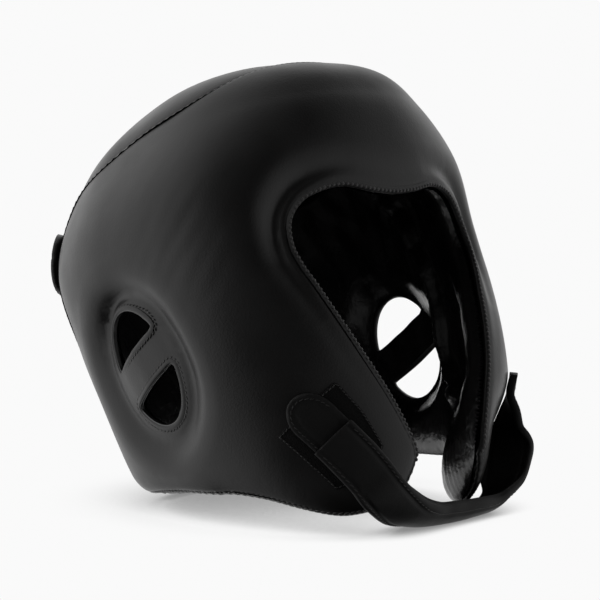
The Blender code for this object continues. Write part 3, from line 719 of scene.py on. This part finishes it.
def shell_outlines():
    """Plane outline of the shell and its ear holes."""
    right = joined([face_half, hem_half, joined([rear_half, seam_half])])
    outer = joined([shifted(right), flip(right)])
    outer = wound(evened(outer, OUTLINE_STEP))
    holes = [ear_hole(side, upper) for side in (-1, 1) for upper in (True, False)]
    return outer, holes


SHELL_LOOP, EAR_LOOPS = shell_outlines()


def on_shell(flat):
    """Point of the shell's outer skin at plane places, in the world frame."""
    base, out = on_form(from_plane(flat))
    return world(base - out * shell_depth(base)[:, None])


def steps_along(line, closed):
    """Forward way at each point of a line."""
    return np.roll(line, -1, axis=0) - np.roll(line, 1, axis=0) if closed else np.gradient(line, axis=0)


def sideways(loop, closed):
    """Way into the panel at each point of its plane outline."""
    forward = steps_along(loop, closed)
    return unit(np.stack([-forward[:, 1], forward[:, 0]], -1))


def frames_along(loop, closed=True, inward=0.0012):
    """Points of the shell along a plane line, the way into the panel, and outward."""
    here, within = on_shell(loop), on_shell(loop + sideways(loop, closed) * inward)
    along, into = unit(steps_along(here, closed)), unit(within - here)
    out = unit(np.cross(along, into))
    return here, np.cross(out, along), out


def swept(here, into, out, profile, closed=True):
    """Strip of a profile, in metres into the panel and outward, carried along a line."""
    rings = np.stack([here + into * u + out * v for u, v in profile], 1)
    count, wide = rings.shape[:2]
    faces = []
    for row in range(count if closed else count - 1):
        after = (row + 1) % count
        for k in range(wide - 1):
            faces.append((row * wide + k, after * wide + k, after * wide + k + 1, row * wide + k + 1))
    return rings.reshape(-1, 3), faces


def stitch_row(here, out, pitch, length, radius, slant):
    """Thread stitches along a line of points with their outward ways."""
    runs = np.linalg.norm(np.diff(here, axis=0), axis=1)
    reach = np.concatenate([[0], np.cumsum(runs)])
    at = np.arange(pitch / 2, reach[-1], pitch)
    centre = np.stack([np.interp(at, reach, here[:, k]) for k in range(3)], -1)
    up = unit(np.stack([np.interp(at, reach, out[:, k]) for k in range(3)], -1))
    near = 2e-4
    after, before = (np.stack([np.interp(at + n, reach, here[:, k]) for k in range(3)], -1) for n in (near, -near))
    ahead = unit(after - before)
    side = unit(np.cross(up, ahead))
    ahead = unit(ahead + side * slant)
    side = unit(np.cross(up, ahead))
    template, faces, around = [], [], 6
    stations = (-1, -0.82, -0.3, 0.3, 0.82, 1)
    sizes = (0.15, 0.75, 1, 1, 0.75, 0.15)
    for x, size in zip(stations, sizes):
        for k in range(around):
            turn = 2 * math.pi * k / around
            drop = -0.35 * radius * (x * x)
            across, height = radius * size * math.cos(turn), radius * size * math.sin(turn) * 0.85 + drop
            template.append((x * length / 2, across, height))
    for row in range(len(stations) - 1):
        for k in range(around):
            a, b = row * around + k, row * around + (k + 1) % around
            faces.append((a, b, b + around, a + around))
    template, faces = np.array(template), np.array(faces)
    vertices = (
        centre[:, None, :]
        + ahead[:, None, :] * template[None, :, 0:1]
        + side[:, None, :] * template[None, :, 1:2]
        + up[:, None, :] * template[None, :, 2:3]
    )
    count = len(template)
    every = (faces[None] + (np.arange(len(centre)) * count)[:, None, None]).reshape(-1, 4)
    return vertices.reshape(-1, 3), every


def stitches(name, parts, material):
    """One piece of several rows of stitches."""
    vertices, faces, start = [], [], 0
    for part, cells in parts:
        vertices.append(part)
        faces += [tuple(int(k) + start for k in face) for face in cells]
        start += len(part)
    piece_of(name, np.vstack(vertices), faces, material)


def build_shell():
    flat, triangles = skin_mesh(SHELL_LOOP, EAR_LOOPS, SHELL_GRID, (0.0014, 0.0034, 0.0062))
    base, out = on_form(from_plane(flat))
    points = base - out * shell_depth(base)[:, None]
    soft = np.array([noise.noise(Vector(p) * 22.0) for p in base])
    slanted = np.array([noise.noise(Vector(((p[1] + p[2]) * 95, (p[1] - p[2]) * 24, p[0] * 20))) for p in base])
    worn = blob(base, *WORN_PLACE) * 0.00032
    points = points + out * (soft * 0.0008 + slanted * worn)[:, None]
    skin = piece_of("shell_padded_skin", world(points), triangles, SHELL, ("main_shell",))


def gather(flat, base, far, hem):
    """Small folds of the lining: gathers beside the crest, loose crumples and pleats above the hem."""
    lift = np.zeros(len(base))
    beside = reach_to(on_left(base), RIDGE_LINE)[0]
    for index, p in enumerate(base):
        q = Vector(p)
        low = min(1.0, max(0.0, 1.35 - hem[index] / 0.030))
        loose = noise.noise(Vector((p[0] * 60, p[1] * 90, p[2] * 45))) * 0.0011 * (1 - 0.8 * low)
        near = math.exp(-((beside[index] / 0.016) ** 2)) * (1 - low)
        ripple = noise.noise(Vector((p[0] * 300, p[1] * 300, p[2] * 40 + 3))) * 0.0020 * near
        pleat = math.sin(flat[index, 0] * 2 * math.pi / 0.0046 + 2.0 * noise.noise(q * 45)) * low * 0.00028
        lift[index] = (loose + ripple + pleat) * min(1.0, min(far[index], hem[index]) / 0.009)
    return lift


def build_lining():
    outline = evened(SHELL_LOOP, LINING_STEP)
    flat, triangles = skin_mesh(outline, EAR_LOOPS, LINING_GRID, (0.0008, 0.0022, 0.0040, 0.0060))
    base, out = on_form(from_plane(flat))
    depth, far, hem = lining_depth(base)
    points = base - out * (depth + gather(flat, base, far, hem))[:, None]
    sheet = piece_of("lining_sheet", world(points), triangles[:, ::-1], LINING, ("lining",))


def lip(name, loop, profile, material, closed=True):
    """Strip of a profile along a plane line of the shell."""
    vertices, faces = swept(*frames_along(loop, closed), profile, closed)
    piece_of(name, vertices, faces, material)


def build_crown():
    seam = joined([seam_half[::-1], plane_line(CROWN_TAIL)])
    half = to_disc(*from_plane(seam))
    mirror = half[::-1].copy()
    mirror[:, 0] *= -1
    loop = evened(wound(joined([half, mirror])), OUTLINE_STEP)
    edge = form_point(*from_disc(evened(loop, DENSE_STEP)))
    flat, triangles = skin_mesh(loop, [], PANEL_GRID, (0.0016, 0.0040, 0.0070))
    base, out = on_form(from_disc(flat))
    far = reach_to(base, edge)[0]
    upper = np.clip((base[:, 2] - 0.086) / 0.020, 0, 1)
    depth = 0.0045 * roll(far, 0.022) - 0.0008 * upper * (1 - roll(far, 0.034))
    top = base - out * depth[:, None]
    under = base - out * (CROWN_PADDING - 0.004 * roll(far, 0.02) + 0.0018)[:, None]
    count = len(base)
    faces = np.vstack([triangles, triangles[:, ::-1] + count])
    indices = [0] * len(triangles) + [1] * len(triangles)
    vertices = np.vstack([world(top), world(under)])
    skin = piece_of("crown_padded_skin", vertices, faces, [SHELL, LINING], ("crown_panel",), indices)


def build_back():
    half = joined([plane_line(BACK_HEM)[::-1], rear_half, plane_line(CROWN_TAIL)])
    loop = evened(wound(joined([half, around_back(half)])), OUTLINE_STEP)
    hem = dense(joined([plane_line(BACK_HEM), around_back(plane_line(BACK_HEM))]))
    edge = form_point(*from_plane(evened(loop, DENSE_STEP)))
    flat, triangles = skin_mesh(loop, [], PANEL_GRID, (0.0016, 0.0040))
    base, out = on_form(from_plane(flat))
    depth = 0.0030 * roll(reach_to(base, edge)[0], 0.012) + 0.0035 * roll(reach_to(base, hem)[0], 0.010)
    top = world(base - out * depth[:, None])
    under = world(base - out * (CROWN_PADDING + 0.0018))
    count = len(base)
    border = [(k, k + count, (k + 1) % len(loop) + count, (k + 1) % len(loop)) for k in range(len(loop))]
    faces = [tuple(f) for f in triangles] + [tuple(f) for f in triangles[:, ::-1] + count] + border
    indices = [0] * len(triangles) + [1] * len(triangles) + [0] * len(border)
    vertices = np.vstack([top, under])
    skin = piece_of("back_padded_skin", vertices, faces, [SHELL, LINING], ("back_panel",), indices)


def strap_grid(fine, wide):
    """Inner surface points of the chin strap in the head's frame, and the outward way."""
    rows = curve_rows(STRAP_ROWS, fine)
    shares = np.linspace(0, 1, wide)
    grid = []
    for share in shares:
        mix = rows[:, 0:3] + (rows[:, 3:6] - rows[:, 0:3]) * share
        seat = PATCH_LIFT + rows[:, 6] * STRAP_SEAT
        lift = seat + mix[:, 2] * STRAP_THICKNESS
        angle, level = np.radians(mix[:, 0]), level_of(height_of(mix[:, 1]))
        grid.append(form_point(angle, level, 0) + form_normal(angle, level, 0) * lift[:, None])
    grid = np.stack(grid, 1)
    out = unit(np.cross(np.gradient(grid, axis=1), np.gradient(grid, axis=0)))
    bow = rows[:, 7:8] * 4 * shares * (1 - shares)
    return grid + out * (STRAP_THICKNESS * bow)[:, :, None], out, shares


def build_strap():
    wide = 33
    grid, out, shares = strap_grid(12, wide)
    edge = np.minimum(shares, 1 - shares) * STRAP_WIDTH
    crown = 1 - 0.22 * np.clip(1 - edge / 0.0016, 0, 1) ** 2
    groove = 0.0008 * np.exp(-(((edge - 0.0040) / 0.0010) ** 2))
    outer = grid + out * (STRAP_THICKNESS * crown - groove)[None, :, None]
    inner = grid + out * (0.0005 * (1 - crown) + groove * 0.6)[None, :, None]
    count = grid.shape[0]
    ring = world(np.concatenate([inner, outer[:, ::-1]], axis=1))
    size = 2 * wide
    faces = []
    for row in range(count - 1):
        for k in range(size):
            a, b = row * size + k, row * size + (k + 1) % size
            faces.append((a, a + size, b + size, b))
    for row, order in ((0, 1), (count - 1, -1)):
        for k in range(wide - 1):
            a, b = row * size + k, row * size + k + 1
            c, d = row * size + size - 2 - k, row * size + size - 1 - k
            faces.append((a, b, c, d)[::order])
    strap = piece_of("chin_strap_leather", ring.reshape(-1, 3), faces, STRAP, ("chin_strap",))
    parts = []
    world_grid, world_out = world(outer), unit(world(outer + out) - world(outer))
    for k in (3, wide - 4):
        parts.append(stitch_row(world_grid[6:-8, k], world_out[6:-8, k], 0.0031, 0.0025, 0.00032, slant=0.2))
    stitches("strap_stitches", parts, THREAD)


def thin_skin(name, loop, lift, thickness, material, slot, replaces, border, groove=0.0003):
    """Thin flat piece that lies on the form, with rounded edges and a sewn groove along its border."""
    loop = evened(wound(loop), THIN_GRID * 0.7)
    flat, triangles = skin_mesh(loop, [], THIN_GRID, (THIN_GRID * 0.5,))
    base, out = on_form(from_plane(flat))
    far = reach_to(base, form_point(*from_plane(evened(loop, DENSE_STEP))))[0]
    sewn = groove * np.exp(-(((far - border) / 0.0008) ** 2))
    top = lift + thickness - 0.0006 * roll(far, 0.0016) - sewn
    upper, lower = base + out * top[:, None], base + out * lift
    count = len(base)
    faces = [tuple(f) for f in triangles] + [tuple(f[::-1] + count) for f in triangles]
    faces += [(b, a, a + count, b + count) for a, b in border_edges(triangles)]
    piece_of(name, world(np.vstack([upper, lower])), faces, material, replaces)


def border_edges(triangles):
    """Border edges of a plane mesh, as pairs that follow the triangles' way round."""
    sides = np.vstack([triangles[:, [0, 1]], triangles[:, [1, 2]], triangles[:, [2, 0]]])
    seen = {tuple(s) for s in sides.tolist()}
    return [(a, b) for a, b in seen if (b, a) not in seen]


def threads_on(name, line, lift, pitch, radius):
    """Row of stitches that lies on the form at one height, along a plane line."""
    base, out = on_form(from_plane(spaced(line, 0.0010)))
    upward = unit(world(base + out) - world(base))
    row = stitch_row(world(base + out * lift), upward, pitch, pitch * 0.84, radius, slant=0.25)
    stitches(name, [row], THREAD)


def plane_of(rows):
    table = np.array(rows, float)
    return to_plane(np.radians(table[:, 0]), level_of(height_of(table[:, 1])))


def build_patch():
    corners = plane_of(PATCH_CORNERS)
    seat = (PATCH_LIFT, PATCH_THICKNESS)
    thin_skin("cheek_patch_fabric", corners, *seat, PATCH, "patch_fabric", ("cheek_patch",), border=0.0025)
    rim = inset(evened(wound(corners), 0.0010), 0.0009)
    threads_on("patch_threads", np.vstack([rim, rim[:1]]), 0.0016, 0.0023, 0.00034)


def tab_outline():
    """Plane outline of the strap's rounded end."""
    ends = plane_of([STRAP_ROWS[0][0:2], STRAP_ROWS[0][3:5]])
    further = plane_of([STRAP_ROWS[1][0:2], STRAP_ROWS[1][3:5]])
    middle, ahead = ends.mean(0), unit(further.mean(0) - ends.mean(0))
    half = 0.5 * (ends[0] - ends[1]) * TAB_WIDTH_SHARE
    width = 2 * np.linalg.norm(half)
    turn = np.linspace(0, math.pi, 25)[:, None]
    centre = middle - ahead * 0.40 * width
    end = centre + half * np.cos(turn) - ahead * 0.5 * width * np.sin(turn)
    return np.vstack([end, [middle - half + ahead * TAB_TUCK, middle + half + ahead * TAB_TUCK]])


def build_tab():
    outline = tab_outline()
    seat = (TAB_LIFT, TAB_THICKNESS)
    sewn = {"border": 0.0042, "groove": 0.0007}
    thin_skin("strap_tab_leather", outline, *seat, STRAP, "strap_leather", ("strap_tab",), **sewn)
    line = inset(evened(wound(outline), 0.0010), 0.0024)[:-12]
    threads_on("tab_threads", line, 0.0037, 0.0028, 0.00030)


def build_rear_strap():
    middle, half = float(level_of(REAR_STRAP_HEIGHT)) * LEVEL_STEP, REAR_STRAP_HALF
    near, far = REAR_STRAP_END * MEAN_RADIUS - half, REAR_STRAP_FAR * MEAN_RADIUS
    turn = np.linspace(-math.pi / 2, math.pi / 2, 15)
    slant = REAR_STRAP_SLANT * (1 - np.sin(turn)) / 2
    end = np.column_stack([near + half * np.cos(turn) - slant, middle + half * np.sin(turn)])
    line = np.vstack([end, [[far, middle + half], [far, middle - half]]])
    seat = (REAR_STRAP_LIFT, REAR_STRAP_THICKNESS)
    thin_skin("rear_strap_leather", line, *seat, SHELL, "strap_leather", ("rear_strap",), border=0.003)


def build_edges():
    """Turned lips of the openings, folds of the seams, piping and the rows of stitches."""
    flat_lip = [
        (0.0030, 0.00025), (0.0016, 0.0006), (0.0004, 0.0006), (-0.0006, 0.0),
        (-0.0009, -0.0010), (-0.0004, -0.0022), (0.0008, -0.0030),
    ]
    seam_profile = [(0.0030, 0.0001), (0.0014, 0.0005), (0.0004, 0.0004), (-0.0003, -0.0003), (-0.0003, -0.0030)]
    turn = np.radians(np.linspace(-60, 240, 9))
    tube = [(-0.0003 + 0.0005 * math.cos(t), -0.0004 + 0.0005 * math.sin(t)) for t in turn]
    rim = spaced(joined([hem_lines[1], face_line, hem_lines[0]]), 0.0014)
    lip("edge_lip", rim, flat_lip, SHELL, closed=False)
    for number, loop in enumerate(EAR_LOOPS):
        lip(f"ear_lip_{number}", evened(loop, 0.0016), [(u * 0.8, v * 0.9) for u, v in flat_lip], SHELL)
    for number, line in enumerate(seam_lines):
        lip(f"seam_fold_{number}", spaced(line, 0.0016), seam_profile, EDGE, closed=False)
    for number, loop in enumerate(EAR_LOOPS):
        lip(f"ear_piping_{number}", evened(loop, 0.0014), tube, GLOSS)
    # line, distance into the panel, closed, lift, pitch and radius of the thread
    rows = [(spaced(face_line, 0.0012), 0.0008, False, 0.0007, 0.0028, 0.00086)]
    rows += [(spaced(line, 0.0014), 0.0016, False, 0.0001, 0.0030, 0.00038) for line in hem_lines]
    rows += [(evened(loop, 0.0012), 0.0028, True, 0.0002, 0.0027, 0.00036) for loop in EAR_LOOPS]
    parts = []
    for loop, distance, closed, lift, pitch, radius in rows:
        here, _, out = frames_along(loop + sideways(loop, closed) * distance * 0.9, closed)
        parts.append(stitch_row(here + out * lift, out, pitch, pitch * 0.84, radius, slant=0.42))
    stitches("edge_stitches", parts, RIM_THREAD)


# Soft lights of the surroundings: direction, where each starts and is full (cosine), and strength
LIGHTS = (
    ((-0.48, 0.87, 0.10), 0.22, 0.80, 0.95),
    ((0.70, 0.72, 0.14), 0.30, 0.88, 1.05),
    ((0.02, 0.78, 0.62), 0.25, 0.92, 0.85),
    ((0.58, -0.80, -0.08), 0.45, 0.97, 0.54),
    ((-0.10, -0.95, -0.10), 0.80, 0.99, 0.26),
    ((-0.90, -0.35, 0.25), 0.55, 0.98, 0.08),
)


def build_floor():
    """Pale glowing floor with a painted shadow, from ambient occlusion, that darkens it softly under the guard."""
    mesh = bpy.data.meshes.new("floor")
    size, low = 12.0, -0.0002
    corners = [(x * size, y * size, low) for x, y in ((-1, -1), (1, -1), (1, 1), (-1, 1))]
    mesh.from_pydata(corners, [], [(0, 1, 2, 3)])
    material = bpy.data.materials.new("floor_white")
    material.use_nodes = True
    shader = material.node_tree.nodes["Principled BSDF"]
    shader.inputs["Base Color"].default_value = (0.0, 0.0, 0.0, 1)
    shader.inputs["Roughness"].default_value = 0.9
    shader.inputs["Specular IOR Level"].default_value = 0.0
    shader.inputs["Emission Color"].default_value = (1, 1, 1, 1)
    # Painted shadow: the floor's glow dims where ambient occlusion finds the guard close by.
    near = node(material.node_tree, "ShaderNodeAmbientOcclusion", samples=24)
    near.inputs["Distance"].default_value = 0.22
    painted_floor_shadow = map_range(material.node_tree, near.outputs["AO"], (0.02, 0.66, 0.25, WHITE), "SMOOTHSTEP")
    material.node_tree.links.new(painted_floor_shadow, shader.inputs["Emission Strength"])
    mesh.materials.append(material)
    floor = bpy.data.objects.new("floor", mesh)
    bpy.context.scene.collection.objects.link(floor)
    floor.visible_glossy = False
    floor.visible_diffuse = False


def build_surroundings():
    """Studio surroundings with soft lights, pale where the camera sees them."""
    surround = bpy.data.worlds.new("studio")
    bpy.context.scene.world = surround
    surround.use_nodes = True
    tree = surround.node_tree
    place = node(tree, "ShaderNodeTexCoord").outputs["Generated"]
    total = None
    for (x, y, z), start, stop, most in LIGHTS:
        dot = node(tree, "ShaderNodeVectorMath", operation="DOT_PRODUCT")
        dot.inputs[1].default_value = tuple(unit(np.array([x, y, z])))
        tree.links.new(place, dot.inputs[0])
        lobe = map_range(tree, dot.outputs["Value"], (start, stop, 0.0, most), "SMOOTHSTEP")
        if total is None:
            total = lobe
        else:
            brighter = node(tree, "ShaderNodeMath", operation="MAXIMUM")
            tree.links.new(total, brighter.inputs[0])
            tree.links.new(lobe, brighter.inputs[1])
            total = brighter.outputs["Value"]
    seen = node(tree, "ShaderNodeLightPath").outputs["Is Camera Ray"]
    mix = node(tree, "ShaderNodeMix", data_type="FLOAT")
    tree.links.new(seen, mix.inputs[0])
    tree.links.new(total, mix.inputs[2])
    mix.inputs[3].default_value = WHITE
    background = tree.nodes["Background"]
    background.inputs["Color"].default_value = (1, 1, 1, 1)
    tree.links.new(mix.outputs[0], background.inputs["Strength"])


def build_camera():
    """Camera at the photograph's angle, just above the floor."""
    azimuth, elevation, away = math.radians(-43.5), math.radians(3.0), 1.035
    flat = math.cos(elevation)
    backward = Vector((math.sin(azimuth) * flat, -math.cos(azimuth) * flat, math.sin(elevation)))
    right = Vector((math.cos(azimuth), math.sin(azimuth), 0))
    upward = backward.cross(right)
    place = right * 0.005 + Vector((REST[0], REST[1], 0.1125)) + backward * away
    camera = bpy.data.cameras.new("camera")
    camera.lens, camera.sensor_width = 111.0, 36.0
    viewer = bpy.data.objects.new("camera", camera)
    turn = Matrix((right, upward, backward)).transposed().to_4x4()
    viewer.matrix_world = Matrix.Translation(place) @ turn
    bpy.context.scene.collection.objects.link(viewer)
    bpy.context.scene.camera = viewer


build_floor()
build_surroundings()
build_camera()
build_shell()
build_lining()
build_crown()
build_back()
build_strap()
build_patch()
build_tab()
build_rear_strap()
build_edges()
